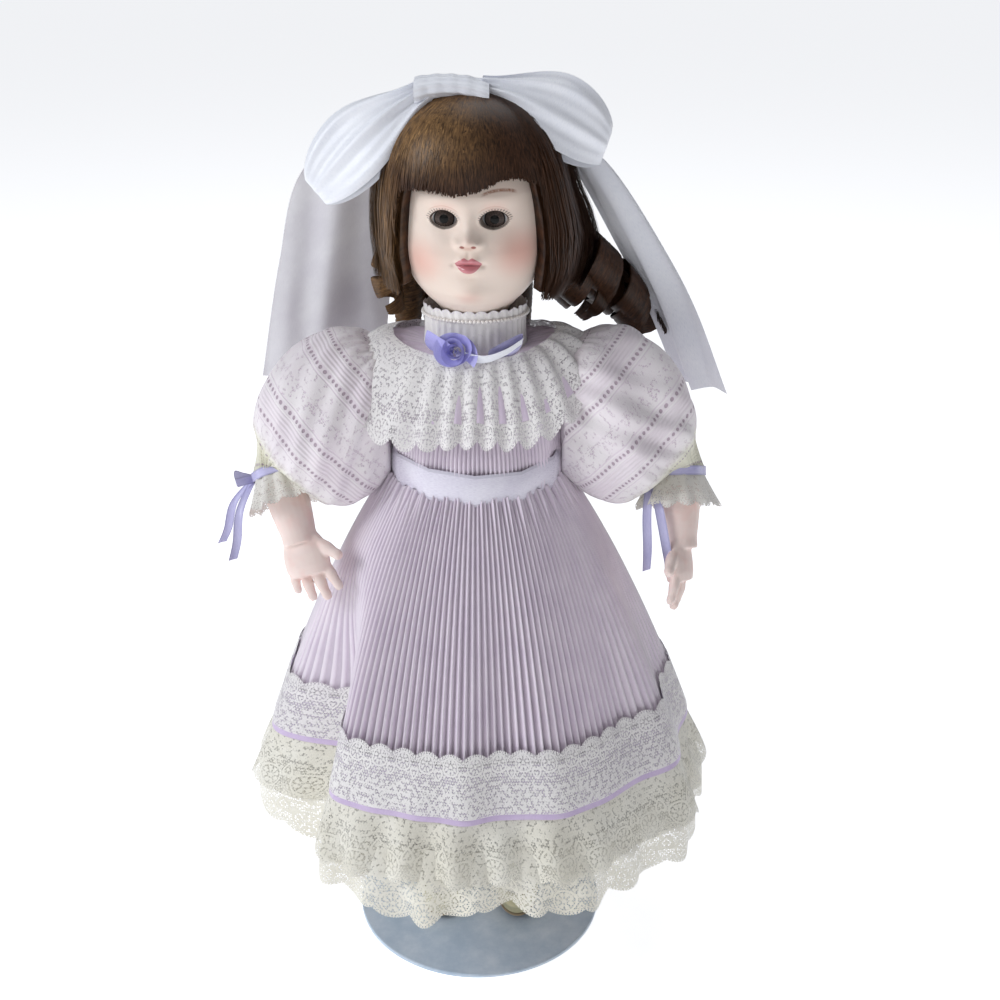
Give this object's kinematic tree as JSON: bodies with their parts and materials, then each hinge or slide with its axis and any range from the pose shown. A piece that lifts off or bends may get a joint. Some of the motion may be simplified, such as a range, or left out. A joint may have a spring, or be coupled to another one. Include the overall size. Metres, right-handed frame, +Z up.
{
  "type": "porcelain doll",
  "caption": "Standing porcelain collector doll in a pleated lilac dress with lace, on a round metal stand whose waist clip holds it upright.",
  "frame": {"origin": "middle of the stand base's underside", "axes": "+Z up, the doll faces -Y, +X is the doll's own left"},
  "size_m": [0.248, 0.19, 0.4273],
  "materials": {
    "painted_stand": "satin white enamel with a blue-grey tint",
    "steel": "plain drawn wire and turned steel",
    "stand_plug": "turned beech",
    "clip_vinyl": "soft white vinyl tube",
    "muslin": "unbleached cotton muslin, firmly stuffed",
    "bisque": "unglazed tinted bisque with painted cheeks, brows and lips",
    "glass_eye": "dark grey-brown glass with a clear front",
    "plaster": "cast plaster",
    "pate_card": "pressed card",
    "wig_hair": "brown synthetic hair on a net cap",
    "bow_satin": "white satin ribbon",
    "lilac_satin": "pale lilac satin, crystal pleated",
    "white_lace": "off-white cotton lace over lilac lining",
    "ribbon_satin": "silvery lilac satin ribbon",
    "violet_ribbon": "violet-blue satin ribbon",
    "pearl": "imitation pearl beads on thread",
    "white_cotton": "fine white cotton",
    "shoe_leather": "pale cream leather"
  },
  "bodies": {
    "stand": {"stand_base": "painted_stand", "post_screw": "steel", "stand_tube": "painted_stand", "tube_plug": "stand_plug"},
    "post": {"stand_rod": "steel", "waist_clip": "steel", "clip_sleeves": "clip_vinyl"},
    "body": {"torso": "muslin", "shoulder_plate": "bisque", "bodice": "lilac_satin", "collar": "white_lace", "neckband": "white_lace", "pearl_string": "pearl", "rosette": "violet_ribbon", "neck_ribbon": "ribbon_satin", "sash": "ribbon_satin", "sash_bow": "ribbon_satin", "skirt": "lilac_satin", "hem_band": "lilac_satin", "hem_ruffle": "white_lace", "petticoat": "white_cotton", "petticoat_lace": "white_lace", "neck_spring": "steel", "neck_washer": "steel", "neck_nut": "steel"},
    "head": {"head": "bisque", "neck_bolt": "steel", "crown_pate": "pate_card", "eyes": "glass_eye", "eye_plaster": "plaster", "wig": "wig_hair", "ringlets_left": "wig_hair", "ringlets_back": "wig_hair", "bow_knot": "bow_satin", "bow_loop_left": "bow_satin", "bow_loop_right": "bow_satin", "bow_tail_left": "bow_satin", "bow_tail_right": "bow_satin"},
    "arm_left": {"upper_arm_left": "muslin", "sleeve_left": "white_lace"},
    "arm_right": {"upper_arm_right": "muslin", "sleeve_right": "white_lace"},
    "forearm_left": {"forearm_left": "bisque", "cuff_left": "white_lace", "wrist_ribbon_left": "ribbon_satin"},
    "forearm_right": {"forearm_right": "bisque", "cuff_right": "white_lace", "wrist_ribbon_right": "ribbon_satin"},
    "leg_left": {"upper_leg_left": "muslin", "lower_leg_left": "bisque", "sock_left": "white_cotton", "shoe_left": "shoe_leather", "bloomer_leg_left": "white_cotton"},
    "leg_right": {"upper_leg_right": "muslin", "lower_leg_right": "bisque", "sock_right": "white_cotton", "shoe_right": "shoe_leather", "bloomer_leg_right": "white_cotton"}
  },
  "joints": [
    {"name": "post_height", "type": "slide", "parent": "stand", "child": "post", "axis": [0, 0, 1], "range_m": [0, 0.06]},
    {"name": "turn_in_clip", "type": "hinge", "parent": "post", "child": "body", "pos_m": [0, 0, 0.208], "axis": [0, 0, 1], "range_deg": [-25, 25]},
    {"name": "head_turn", "type": "hinge", "parent": "body", "child": "head", "pos_m": [0, 0, 0.319], "axis": [0, 0, 1], "range_deg": [-45, 45], "deforming": ["ringlets_left", "ringlets_back", "bow_tail_left", "bow_tail_right"]},
    {"name": "left_shoulder", "type": "hinge", "parent": "body", "child": "arm_left", "pos_m": [0.048, 0.002, 0.293], "axis": [-1, 0, 0], "range_deg": [-30, 90]},
    {"name": "left_elbow", "type": "hinge", "parent": "arm_left", "child": "forearm_left", "pos_m": [0.093, -0.004, 0.256], "axis": [-1, 0, 0], "range_deg": [-20, 40], "deforming": ["sleeve_left", "cuff_left", "wrist_ribbon_left"]},
    {"name": "left_hip", "type": "hinge", "parent": "body", "child": "leg_left", "pos_m": [0.02, 0, 0.1715], "axis": [-1, 0, 0], "range_deg": [-5, 30]},
    {"name": "right_shoulder", "type": "hinge", "parent": "body", "child": "arm_right", "pos_m": [-0.048, 0.002, 0.293], "axis": [-1, 0, 0], "range_deg": [-30, 90]},
    {"name": "right_elbow", "type": "hinge", "parent": "arm_right", "child": "forearm_right", "pos_m": [-0.093, -0.004, 0.256], "axis": [-1, 0, 0], "range_deg": [-20, 40], "deforming": ["sleeve_right", "cuff_right", "wrist_ribbon_right"]},
    {"name": "right_hip", "type": "hinge", "parent": "body", "child": "leg_right", "pos_m": [-0.02, 0, 0.1715], "axis": [-1, 0, 0], "range_deg": [-5, 30]}
  ]
}
